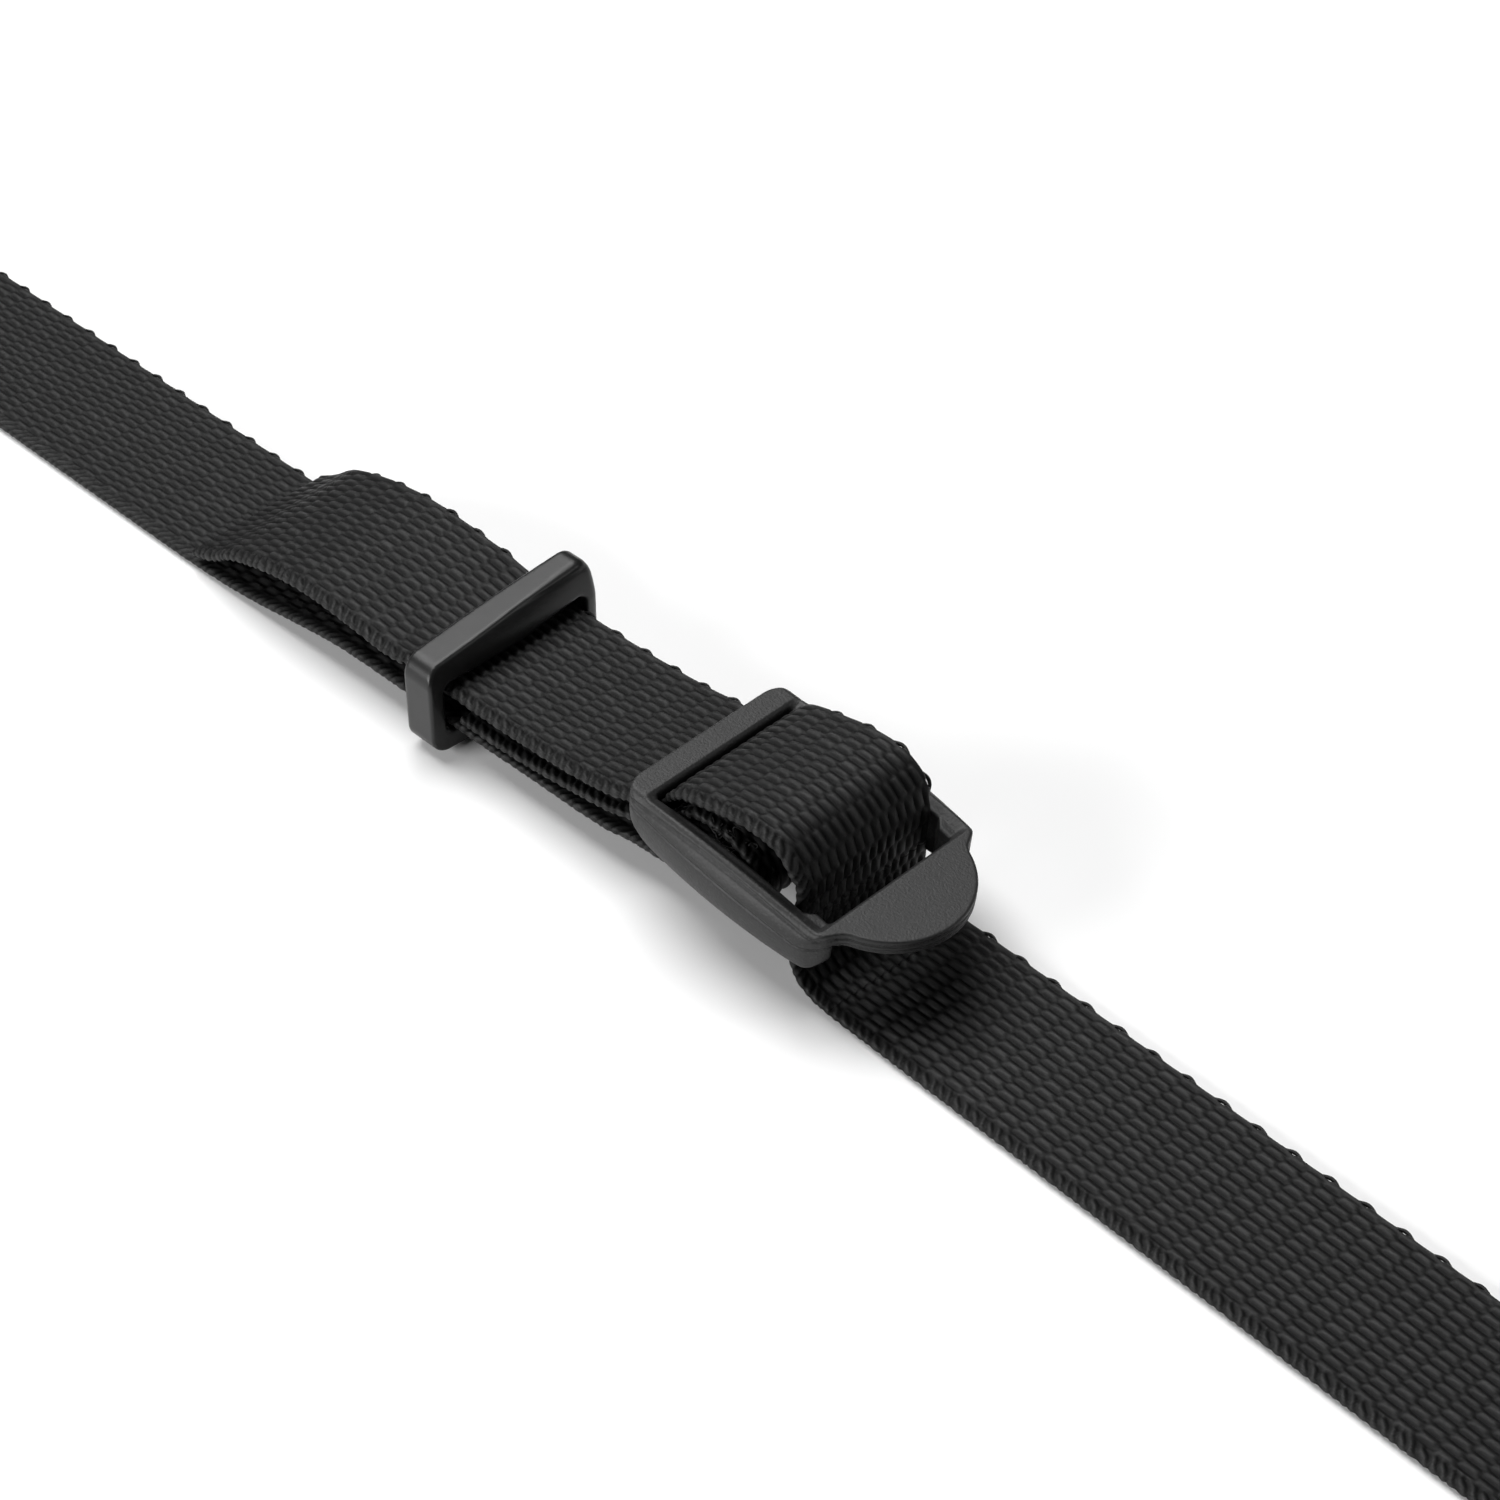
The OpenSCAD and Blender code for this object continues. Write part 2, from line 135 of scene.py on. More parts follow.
LOOP_R = BAR_T / 2 + CLEAR + HALF_T + 0.3
LOOP_X = (BAR_W - BAR_T) / 2
UNDER_BAR_Z = BAR_Z + TOP_H - REAR_BAR_T + BAR_BACK * math.sin(LEAN) - CLEAR - HALF_T
MAIN_POINTS = [
    (RISE_X, HALF_T), (RISE_X + 8, HALF_T + 0.25), (RISE_X + 17, HALF_T + 1.1),
    (RISE_X + 27, MAIN_Z - 1.5), (RISE_X + 36, MAIN_Z - 0.3), (KEEPER_X - 8, MAIN_Z),
    (KEEPER_X + 2, MAIN_Z), (KEEPER_X + 12, MAIN_Z), (KEEPER_X + 22, MAIN_Z + 0.25),
    (SLOT_REAR - 13.25, BAR_Z - LOOP_R - 3.1), (SLOT_REAR - 3.25, BAR_Z - LOOP_R - 2.4),
    (SLOT_REAR + 4.75, BAR_Z - LOOP_R - 1.7),
]
LOOP_POINTS = [
    (SLOT_REAR + 4.75, BAR_Z - LOOP_R - 1.7), (-3.5, BAR_Z - LOOP_R - 0.5),
    (LOOP_X, BAR_Z - LOOP_R), (LOOP_X + LOOP_R * 0.74, BAR_Z - LOOP_R * 0.68),
    (LOOP_X + LOOP_R, BAR_Z), (LOOP_X + LOOP_R - 0.1, BAR_Z + 2.1),
    (LOOP_X + LOOP_R - 1.3, BAR_Z + 4.3), (0.2, BAR_Z + 6), (-3, BAR_Z + 6.8),
    (SLOT_REAR + 6.75, BAR_Z + 6.3), (SLOT_REAR + 4.35, BAR_Z + 4.5),
    (SLOT_REAR + 2.95, BAR_Z + 2.4), (SLOT_REAR + 1.15, BAR_Z + 0.4),
    (SLOT_REAR - 2.25, BAR_Z - 1), (SLOT_REAR - 7.25, BAR_Z - 2),
    (SLOT_REAR - 13.25, BAR_Z - 2.9), (KEEPER_X + 24, FOLD_BACK_Z + 0.9),
    (KEEPER_X + 15, FOLD_BACK_Z + 0.1), (KEEPER_X + KEEPER_L + 2, FOLD_BACK_Z),
]
RUNNING_POINTS = [
    (FOOT_X, HALF_T), (FOOT_X - 3.4, HALF_T + 0.3), (FOOT_X - 5.8, HALF_T + 1.5),
    (FOOT_X - 7.1, HALF_T + 3.7), (FOOT_X - 7.4, HALF_T + 6.5), (FOOT_X - 7, BAR_Z - 0.8),
    (SLOT_FRONT - 4.6, BAR_Z + 2.4), (SLOT_FRONT - 4.4, BAR_Z + 5.6),
    (SLOT_FRONT - 5.6, BAR_Z + 8.6), (SLOT_FRONT - 8, BAR_Z + 10.5),
    (SLOT_FRONT - 11.4, BAR_Z + 11.1), (0.6, BAR_Z + 10.8), (-3.2, BAR_Z + 10),
    (SLOT_REAR + 5.1, BAR_Z + 8.6), (SLOT_REAR + 2.6, BAR_Z + 6.7),
    (SLOT_REAR + 1.4, BAR_Z + 4.7), (SLOT_REAR + 1.05, UNDER_BAR_Z + 0.71),
    (SLOT_REAR - 0.75, UNDER_BAR_Z - 0.29), (SLOT_REAR - 3.75, UNDER_BAR_Z - 0.79),
    (SLOT_REAR - 9.25, BAR_Z + 0.6), (SLOT_REAR - 15.25, TAIL_Z + 0.9),
    (SLOT_REAR - 23.25, TAIL_Z + 0.3), (KEEPER_X + 14, TAIL_Z), (KEEPER_X + 4, TAIL_Z),
    (KEEPER_X - 4, TAIL_Z + 0.1), (KEEPER_X - 12, TAIL_Z + 0.8), (KEEPER_X - 20, TAIL_Z + 1.35),
    (KEEPER_X - 26, TAIL_Z + 1.3), (KEEPER_X - 32, TAIL_Z + 0.5), (KEEPER_X - 37, TAIL_Z - 0.7),
    (KEEPER_X - 42, TAIL_Z - 2.5), (KEEPER_X - 46, HALF_T + WEBBING_T + 2.7),
    (KEEPER_X - 50, HALF_T + WEBBING_T + 0.7),
]
FOLD_L, FOLD_PITCH, DROP_L, OVERLAP_L = 76.0, 3.2, 26.0, 26.0
HOLE_REACH = 26.0
LEATHER_T, COVER_T = 2.0, 1.6
LEATHER_W, NOSE_R = 30.0, 11.0
HOLE_R, SLIT_L, SLIT_W = 4.0, 10.0, 1.2
HOLE_FROM_FOLD = FOLD_L + DROP_L + OVERLAP_L + HOLE_REACH


def fold_turn(x, z, side):
    """Half a turn of the folded webbing."""
    angles = np.radians(np.arange(-90, 91, 7.5))
    return np.column_stack([x + side * FOLD_PITCH / 2 * np.cos(angles),
                            z + FOLD_PITCH / 2 * np.sin(angles)])


def fold_route():
    """The folded webbing, from its inner end to its end on the leather."""
    top = HALF_T + 2 * FOLD_PITCH
    rest = LEATHER_T + HALF_T
    s = np.linspace(0, 1, 25)
    drop = np.column_stack([FOLD_L + DROP_L * s, top + (rest - top) * (1 - np.cos(np.pi * s)) / 2])
    return np.vstack([
        [(0, HALF_T)],
        fold_turn(FOLD_L, HALF_T + FOLD_PITCH / 2, 1),
        fold_turn(2, HALF_T + 1.5 * FOLD_PITCH, -1),
        drop,
        [(FOLD_L + DROP_L + OVERLAP_L, rest)],
    ])


class Route:
    """A webbing's centreline in X and Z, measured along its length."""

    def __init__(self, points):
        self.points = np.array(points, float)
        steps = np.linalg.norm(np.diff(self.points, axis=0), axis=1)
        self.along = np.concatenate([[0], np.cumsum(steps)])
        self.length = self.along[-1]

    def at(self, s):
        return np.column_stack([np.interp(s, self.along, self.points[:, k]) for k in (0, 1)])

    def normal(self, s, reach=0.35):
        d = self.at(np.minimum(s + reach, self.length)) - self.at(np.maximum(s - reach, 0))
        d /= np.linalg.norm(d, axis=1)[:, None]
        return np.column_stack([-d[:, 1], d[:, 0]])

    def where(self, point):
        """How far along the route the nearest of its points to this one is."""
        return self.along[np.argmin(np.linalg.norm(self.points - np.array(point), axis=1))]


FRONT_ROUTE = Route(np.vstack([[(FRONT_FOLD_X, HALF_T)], spline(MAIN_POINTS[:-1] + LOOP_POINTS)]))
RUNNING_ROUTE = Route(np.vstack([[(REAR_FOLD_X, HALF_T)], spline(RUNNING_POINTS)]))
FOLD_ROUTE = Route(fold_route())

# ---------------------------------------------------------------- places in the frame


def at_bar(p):
    return p + np.array([BAR_X, 0, 0])


def at_front(p):
    """The front end's pieces, drawn outwards from the fold's inner end."""
    return p * np.array([-1, 1, 1]) + np.array([BAR_X + FRONT_FOLD_X, 0, 0])


def turned(p, angle):
    c, s = np.cos(angle), np.sin(angle)
    return np.column_stack([p[:, 0] * c - p[:, 1] * s, p[:, 0] * s + p[:, 1] * c, p[:, 2]])


def rolled(p):
    """Behind the keeper the tail leans a little towards the near side."""
    behind = np.clip((KEEPER_X - 0.5 - p[:, 0]) / 9, 0, 1)
    before_tip = np.clip((p[:, 0] - KEEPER_X + 54) / 12, 0, 1)
    lift = (KEEPER_SLOPE * p[:, 1] - 0.2) * eased(behind * before_tip)
    return at_bar(p + np.column_stack([0 * lift, 0 * lift, lift]))


def swung(p):
    """The rear half leaves the buckle's foot a little sideways."""
    rel = p - np.array([PIVOT_X, 0, 0])
    turn = -LAY * eased(np.clip(rel[:, 0] / 8, 0, 1))
    return at_bar(turned(rel, turn) + np.array([PIVOT_X, 0, 0]))


def at_rear(p):
    rel = p + np.array([REAR_FOLD_X - PIVOT_X, 0, 0])
    return at_bar(turned(rel, -LAY) + np.array([PIVOT_X, 0, 0]))


# ---------------------------------------------------------------- meshes


def make_object(name, verts, faces, material, attributes):
    """A mesh object from points in millimetres. Faces are quads or triangles in arrays."""
    mesh = bpy.data.meshes.new(name)
    loops = np.concatenate([np.asarray(f).ravel() for f in faces]).astype(np.int32)
    sizes = np.concatenate([np.full(len(f), np.asarray(f).shape[1]) for f in faces])
    mesh.vertices.add(len(verts))
    mesh.vertices.foreach_set("co", (np.asarray(verts) * MM).astype(np.float32).ravel())
    mesh.loops.add(len(loops))
    mesh.loops.foreach_set("vertex_index", loops)
    mesh.polygons.add(len(sizes))
    starts = np.concatenate([[0], np.cumsum(sizes)[:-1]]).astype(np.int32)
    mesh.polygons.foreach_set("loop_start", starts)
    mesh.polygons.foreach_set("use_smooth", np.full(len(sizes), True))
    for key, values in attributes.items():
        values = np.asarray(values, np.float32)
        if values.ndim == 1:
            mesh.attributes.new(key, "FLOAT", "POINT").data.foreach_set("value", values)
        else:
            mesh.attributes.new(key, "FLOAT_VECTOR", "POINT").data.foreach_set(
                "vector", values.ravel())
    mesh.update()
    mesh.validate()
    mesh.materials.append(material)
    obj = bpy.data.objects.new(name, mesh)
    bpy.context.scene.collection.objects.link(obj)
    return obj


def ring_faces(rows, ring):
    """Quads between rows of closed rings."""
    i = np.arange(rows - 1)[:, None] * ring
    j = np.arange(ring)[None, :]
    k = (j + 1) % ring
    return np.stack([i + j, i + k, i + ring + k, i + ring + j], -1).reshape(-1, 4)


class Mesh:
    """Points and faces gathered for one object."""

    def __init__(self):
        self.verts, self.faces, self.strap, self.relief = [], [], [], []
        self.count = 0

    def add(self, verts, faces, strap, relief):
        self.verts.append(verts)
        self.faces += [f + self.count for f in faces]
        self.strap.append(strap)
        self.relief.append(relief)
        self.count += len(verts)

    def build(self, name, material, place):
        quads = [f for f in self.faces if f.shape[1] == 4]
        tris = [f for f in self.faces if f.shape[1] == 3]
        faces = [np.vstack(group) for group in (quads, tris) if group]
        return make_object(name, place(np.vstack(self.verts)), faces, material, {
            "strap": np.vstack(self.strap), "relief": np.concatenate(self.relief)})


def tube(mesh, path, radius, sides, relief, strap=None):
    """A round yarn along a path, tapered to a blunt point at its ends."""
    n = len(path)
    d = np.gradient(path, axis=0)
    d /= np.linalg.norm(d, axis=1)[:, None] + 1e-9
    ref = np.where(np.abs(d[:, 2:3]) > 0.9, [[1.0, 0, 0]], [[0, 0, 1.0]])
    a = np.cross(d, ref)
    a /= np.linalg.norm(a, axis=1)[:, None]
    b = np.cross(d, a)
    angles = np.arange(sides) * 2 * np.pi / sides
    r = np.broadcast_to(radius, (n,))
    ring = (np.cos(angles)[None, :, None] * a[:, None] + np.sin(angles)[None, :, None] * b[:, None])
    verts = (path[:, None] + ring * r[:, None, None]).reshape(-1, 3)
    faces = [ring_faces(n, sides)[:, ::-1]]
    ends = np.array([path[0] - d[0] * r[0] * 0.5, path[-1] + d[-1] * r[-1] * 0.5])
    verts = np.vstack([verts, ends])
    j = np.arange(sides)
    k = (j + 1) % sides
    tail = (n - 1) * sides
    faces.append(np.column_stack([j, k, np.full(sides, n * sides)]))
    faces.append(np.column_stack([tail + k, tail + j, np.full(sides, n * sides + 1)]))
    if strap is None:
        strap = verts
    else:
        strap = np.vstack([np.repeat(strap, sides, axis=0), strap[[0, -1]]])
    mesh.add(verts, faces, strap, np.full(len(verts), relief))


def weave_relief(s, v, width, shift):
    """Height of the woven surface, from 0 in its pits to 1 on its floats."""
    row = np.floor(s / FLOAT_PITCH)
    along = s / FLOAT_PITCH - row - 0.5
    stack = v / FLOAT_W + 0.5 * np.mod(row, 2) + shift + 0.16 * (hashed(row, 4) - 0.5)
    gap = np.floor(stack + 0.5)
    stack = stack + 0.14 * (hashed(gap, row, 6) - 0.5)
    from_gap = np.abs(stack - gap)
    reach = 0.47 + 0.05 * hashed(gap, row, 9)
    lens = np.clip(1 - (np.abs(along + 0.07 * (hashed(gap, row) - 0.5)) / reach) ** 3, 0, 1)
    bow = 1 - np.sqrt(np.clip(1 - (1 - 2 * np.minimum(from_gap, 0.5)) ** 2, 0, 1))
    pit = np.exp(-((from_gap * FLOAT_W / 0.36) ** 2))
    dive = (2 * np.abs(along)) ** 4
    ply = 0.04 * np.cos(5 * np.pi * (stack + 0.35 * along))
    h = 1 - 0.66 * bow * lens - 0.44 * pit * lens - 0.46 * dive + ply * (1 - pit)
    h = np.clip(h * (1 - 0.14 * hashed(row, np.floor(stack), 3)), 0, 1)
    cord = np.clip((v - (width - 1.0)) / 0.4, 0, 1)
    h = h * (1 - cord) + 0.85 * cord
    whip = np.clip((-v - (width - 2.0)) / 0.35, 0, 1)
    turns = s / (FLOAT_PITCH / 2) - 0.52 * (v + width)
    turns = turns + 0.14 * np.sin(0.9 * s) + 0.10 * np.sin(2.3 * s + v)
    ridge = np.sqrt(0.5 + 0.5 * np.cos(2 * np.pi * turns))
    inner = np.exp(-(((v + width - 1.75) / 0.5) ** 2))
    wrapped = (1 - (0.75 + 0.25 * inner) * (1 - ridge)) * (1 - 0.25 * inner)
    return h * (1 - whip) + wrapped * whip * (0.85 + 0.15 * hashed(np.floor(turns)))


def webbing(name, route, s0, s1, place, width, loops, fine=10):
    """A woven stretch of a route, from s0 to s1 along it."""
    mesh = Mesh()
    n = max(int(round((s1 - s0) / (FLOAT_PITCH / fine))), 2) + 1
    s = np.linspace(s0, s1, n)
    centre, up = route.at(s), route.normal(s)
    half_w = width(centre[:, 0], centre[:, 1])
    cells = int(16 * fine * 0.8)
    q = np.linspace(-1, 1, cells + 1)
    q = np.concatenate([[-1, -0.995, -0.988, -0.978, -0.965], q[3:-3], [0.965, 0.978, 0.988, 0.995, 1]])
    m = len(q)
    v = q[None, :] * half_w[:, None]
    rim = 0.55
    into = np.clip((np.abs(v) - (half_w[:, None] - rim)) / rim, 0, 1)
    round_off = np.sqrt(np.clip(1 - into**2.2, 0, 1))
    sides = []
    for face, shift in ((1, 0.0), (-1, 0.5)):
        h = weave_relief(s[:, None], v, half_w[:, None], shift)
        sides.append((face * (HALF_T - FLOAT_DEPTH * (1 - h)) * round_off, h))
    phase = np.mod(s / SCALLOP_PITCH + 0.5, 1) - 0.5
    wave = 0.5 + 0.5 * np.cos(2 * np.pi * phase)
    open_here = np.array([float(loops(*c)) for c in centre])
    notch = np.sqrt(np.clip(1 - (phase * SCALLOP_PITCH / 0.62) ** 2, 0, 1)) * 0.85
    far_edge = (0.18 - 0.12 * wave + notch * open_here)[:, None] * into * (v > 0)
    near_edge = 0.13 * (1 - sides[0][1]) * into * (v < 0)
    y = v - far_edge + near_edge
    rows, reliefs, straps = [], [], []
    for (z, h), order in ((sides[0], slice(None)), (sides[1], slice(-2, 0, -1))):
        yy, zz = y[:, order], z[:, order]
        rows.append(np.stack(
            [centre[:, 0:1] + up[:, 0:1] * zz, yy, centre[:, 1:2] + up[:, 1:2] * zz], -1))
        reliefs.append(h[:, order])
        straps.append(np.stack([np.broadcast_to(s[:, None], yy.shape), yy, zz], -1))
    verts = np.concatenate(rows, 1)
    ring = verts.shape[1]
    faces = [ring_faces(n, ring)]
    top = np.arange(m)
    under = np.concatenate([[0], ring - np.arange(1, m - 1), [m - 1]])
    for base, flip in ((0, False), ((n - 1) * ring, True)):
        cap = np.column_stack([top[1:-2], under[1:-2], under[2:-1], top[2:-1]]) + base
        tips = np.array([[0, under[1], 1], [m - 1, m - 2, under[m - 2]]]) + base
        faces += [cap[:, ::-1], tips[:, ::-1]] if flip else [cap, tips]
    mesh.add(verts.reshape(-1, 3), faces, np.concatenate(straps, 1).reshape(-1, 3),
             np.concatenate(reliefs, 1).ravel())
    add_selvage_loops(mesh, route, s0, s1, width, loops)
    return mesh.build(name, WEBBING, place)


def add_selvage_loops(mesh, route, s0, s1, width, wanted):
    """The weft's little loops that stand out along the far edge."""
    first = math.ceil((s0 + LOOP_SPAN) / SCALLOP_PITCH)
    last = math.floor((s1 - LOOP_SPAN) / SCALLOP_PITCH)
    for k in range(first, last + 1):
        t = np.linspace(-1, 1, 13)
        s = k * SCALLOP_PITCH + t * (1.75 + 0.3 * hashed(k, 2))
        c, up = route.at(s), route.normal(s)
        if not wanted(c[6, 0], c[6, 1]):
            continue
        w = width(c[:, 0], c[:, 1])
        out = w - 0.42 + (0.60 + 0.14 * hashed(k, 5)) * np.cos(t * np.pi / 2) ** 1.4
        z = 0.16 * np.sin(t * np.pi / 2)
        p = np.column_stack([c[:, 0] + up[:, 0] * z, out, c[:, 1] + up[:, 1] * z])
        tube(mesh, p, 0.27 - 0.04 * np.abs(t), 7, 0.8, np.column_stack([s, out, z]))


# ---------------------------------------------------------------- moulded and cut solids


def smooth_max(a, b, k):
    h = np.clip(0.5 + 0.5 * (a - b) / k, 0, 1)
    return b + (a - b) * h + k * h * (1 - h)


def smooth_min(a, b, k):
    return -smooth_max(-a, -b, k)


def rounded_box(x, y, half_x, half_y, r):
    """Distance to a rectangle with rounded corners."""
    qx, qy = np.abs(x) - half_x + r, np.abs(y) - half_y + r
    return np.hypot(np.maximum(qx, 0), np.maximum(qy, 0)) + np.minimum(np.maximum(qx, qy), 0) - r


def surface(field, low, high, voxel):
    """Points and quads of the surface where a field is zero."""
    axes = [np.arange(a, b + voxel, voxel) for a, b in zip(low, high)]
    grid = field(*np.meshgrid(*axes, indexing="ij"))
    shape = np.array(grid.shape)
    corner = [np.array(c) for c in np.ndindex(2, 2, 2)]
    inside = grid < 0
    count = sum(inside[tuple(slice(o, n - 1 + o) for o, n in zip(c, shape))].astype(np.int8)
                for c in corner)
    cells = np.argwhere((count > 0) & (count < 8))
    total = np.zeros((len(cells), 3))
    hits = np.zeros(len(cells))
    for a in corner:
        for axis in range(3):
            if a[axis]:
                continue
            b = a.copy()
            b[axis] = 1
            fa, fb = grid[tuple((cells + a).T)], grid[tuple((cells + b).T)]
            cross = (fa < 0) != (fb < 0)
            t = np.where(cross, fa / np.where(cross, fa - fb, 1), 0)
            total += cross[:, None] * (a + t[:, None] * (b - a))
            hits += cross
    verts = np.array(low) + (cells + total / hits[:, None]) * voxel
    for _ in range(3):
        value = field(*verts.T)
        e = 0.02
        slope = np.column_stack([
            (field(*(verts + e * d).T) - field(*(verts - e * d).T)) / (2 * e) for d in np.eye(3)])
        move = value[:, None] * slope / np.maximum((slope**2).sum(1), 0.05)[:, None]
        far = np.linalg.norm(move, axis=1)[:, None]
        verts -= move * np.minimum(1, 0.5 * voxel / np.maximum(far, 1e-9))
    number = np.full(tuple(shape - 1), -1)
    number[tuple(cells.T)] = np.arange(len(cells))
    quads = []
    for axis in range(3):
        u, w = (axis + 1) % 3, (axis + 2) % 3
        lower = [slice(None)] * 3
        upper = [slice(None)] * 3
        lower[axis], upper[axis] = slice(0, -1), slice(1, None)
        change = inside[tuple(lower)] != inside[tuple(upper)]
        edges = np.argwhere(change)
        keep = (edges[:, u] > 0) & (edges[:, w] > 0)
        keep &= (edges[:, u] < shape[u] - 1) & (edges[:, w] < shape[w] - 1)
        edges = edges[keep]
        du, dw = np.eye(3, dtype=int)[u], np.eye(3, dtype=int)[w]
        q = np.stack([number[tuple((edges - a).T)] for a in (du + dw, dw, 0 * du, du)], 1)
        flip = ~inside[tuple(edges.T)]
        q[flip] = q[flip][:, ::-1]
        quads.append(q)
    return verts, np.vstack(quads)


def moulded(name, field, low, high, voxel, place, material):
    verts, quads = surface(field, low, high, voxel)
    return make_object(name, place(verts), [quads], material, {"strap": verts})


BELLY = spline([
    (BUCKLE_REAR, TOP_H - 2.4), (BUCKLE_REAR + 2.7, TOP_H - 0.6 * RAIL_H),
    (BUCKLE_REAR + 6.7, TOP_H - 0.94 * RAIL_H), (-3, TOP_H - RAIL_H),
    (6, TOP_H - RAIL_H), (SLOT_FRONT - 3.5, TOP_H - 0.95 * RAIL_H),
    (SLOT_FRONT, TOP_H - 0.8 * RAIL_H), (PLATE_FRONT, TOP_H - PLATE_T - 1.4),
    (PLATE_FRONT + 0.2, TOP_H - PLATE_T),
])


def buckle_field(x, y, z):
    """The ladder-lock moulding, about its middle bar."""
    half = SLOT_W / 2
    rim = half + RAIL_W
    frame_half = (PLATE_FRONT - BUCKLE_REAR) / 2
    middle = (2 * x - SLOT_REAR - SLOT_FRONT) / SLOT_L
    arch = RAIL_BOW * np.clip(1 - middle**2, 0, 1)
    side = np.abs(y) - arch
    frame_plan = rounded_box(x - BUCKLE_REAR - frame_half, side, frame_half, rim, 4.2)
    tab_plan = np.hypot(x - (PLATE_FRONT - TAB_R + TAB_REACH), y) - TAB_R
    plan = smooth_min(frame_plan, tab_plan, 1.6)
    level = np.clip((z - (TOP_H - RAIL_H / 2)) / (RAIL_H / 2), -1.2, 1.2)
    bulge = 0.405 * RAIL_H * (1 - np.sqrt(np.clip(1 - 0.75 * level**2, 0.02, 1)))
    outer = smooth_max(plan, side - (rim - bulge), 0.5)
    under = np.interp(x, BELLY[:, 0], BELLY[:, 1])
    beside_slot = np.clip(np.minimum(x - SLOT_REAR + 0.6, SLOT_FRONT + 0.6 - x), 0, 1)
    slope = np.clip((half + 1.9 - side) / 1.9, 0, 1) * beside_slot
    body = smooth_max(outer, z - TOP_H - arch + 0.7 * slope, 0.35)
    body = smooth_max(body, (under - z) * 0.92, 0.45)
    gusset = 1.2 * np.clip((x - SLOT_FRONT + 3.4) / 1.2, 0, 1)
    slot = rounded_box(x - SLOT_REAR - SLOT_L / 2, np.abs(y) + gusset, SLOT_L / 2, half, 0.5)
    body = smooth_max(body, -slot, 0.4)
    rear_under = np.maximum(np.abs(y) - half, np.maximum(x - SLOT_REAR - 1, z - TOP_H + REAR_BAR_T))
    front_under = np.maximum(np.abs(y) - half, np.maximum(SLOT_FRONT - 1 - x, z - TOP_H + PLATE_T))
    body = smooth_max(body, -np.minimum(rear_under, front_under), 0.5)
    bar = np.maximum(rounded_box(x, z, BAR_W / 2, BAR_T / 2, 1.2), np.abs(y) - half - 1)
    body = smooth_min(body, bar, 0.7)
    near_tab = np.clip((x - SLOT_FRONT + 2) / 5, 0, 1)
    high_line = TOP_H - 1.1 + arch + 0.2 * near_tab
    low_line = TOP_H - 2.0 + 0.6 * arch - 0.035 * (x - BUCKLE_REAR) * (1 - near_tab) + 0.25 * near_tab
    outside = np.maximum(np.abs(y) - half, np.maximum(x - SLOT_FRONT, SLOT_REAR - x)) - 0.9
    lines = np.exp(-(((z - high_line) / 0.14) ** 2)) + 0.8 * np.exp(-(((z - low_line) / 0.16) ** 2))
    return body + 0.24 * lines * np.clip(outside, 0, 1)


def buckle_place(p):
    c, s = math.cos(LEAN), math.sin(LEAN)
    leaned = np.column_stack([p[:, 0] * c + p[:, 2] * s, p[:, 1], -p[:, 0] * s + p[:, 2] * c])
    return at_bar(leaned + np.array([0, 0, BAR_Z]))


def keeper_field(x, y, z):
    """The keeper loop, about the middle of its lower bar's underside."""
    opening_w = WEBBING_W + 1
    opening_h = TAIL_Z + HALF_T + KEEPER_ROOM - KEEPER_LIFT - KEEPER_FLOOR
    outer_w = opening_w + 2 * KEEPER_WALL
    outer_h = KEEPER_FLOOR + opening_h + KEEPER_ROOF
    half = outer_w / 2
    swell = 0.35 * (1 - (y / half) ** 2)
    height = np.clip((z - KEEPER_FLOOR) / opening_h, 0, 1)
    leaning = z - KEEPER_SLOPE * y * height
    outer = rounded_box(y, leaning - outer_h / 2, half, outer_h / 2, 2.7)
    inside = z - KEEPER_SLOPE * np.clip(y, 0, None) * height
    inner = rounded_box(y, inside - KEEPER_FLOOR - opening_h / 2, opening_w / 2, opening_h / 2, 1.3)
    rise = np.clip((z - outer_h + 4.6) / 4.6, 0, 1)
    back = -x - KEEPER_L / 2 - swell
    far = np.clip((y - 1) / 10, 0, 1)
    front = x - KEEPER_L / 2 - swell + (1.75 - 0.5 * far) * rise ** (2 - 0.5 * far)
    body = smooth_max(outer, back, 0.6)
    body = smooth_max(body, front * 0.9, 0.4 + 1.1 * far)
    return smooth_max(body, -inner, 0.7)


def tab_field(x, y, z):
    """The button leather, about its button hole."""
    tail = HOLE_REACH + OVERLAP_L + 4
    taper = 26.0
    back = rounded_box(x + (tail + taper) / 2, y, (tail - taper) / 2 + 0.2, LEATHER_W / 2, 3)
    slope = (LEATHER_W / 2 - NOSE_R) / (taper - 1.8)
    neck = np.maximum(np.abs(y) - (NOSE_R - (x + 1.8) * slope), np.maximum(x + 1.8, -taper - 1 - x))
    nose = np.hypot(x, y) - NOSE_R
    plan = smooth_min(smooth_min(back, neck, 0.6), nose, 0.8)
    hole = np.hypot(x, y) - HOLE_R
    slit = rounded_box(x + HOLE_R + SLIT_L / 2, y, SLIT_L / 2 + 1, SLIT_W / 2, 0.1)
    relief = np.hypot(x + HOLE_R + SLIT_L, y) - SLIT_W
    plan = smooth_max(plan, -np.minimum(np.minimum(hole, slit), relief), 0.3)
    edge = np.clip(1 + plan / 5, 0, 1)
    top = LEATHER_T - 0.22 * edge**3 - 0.28 * np.exp(-(((plan + 2.6) / 0.45) ** 2)) * (x > -22)
    return smooth_max(smooth_max(plan, z - top, 0.8), -z, 0.6)


COVER_L, COVER_W = OVERLAP_L - 1, LEATHER_W - 2
SEAM_L, SEAM_W = COVER_L - 6, WEBBING_W - 5
STITCH_PITCH, THREAD_R = 3.2, 0.27


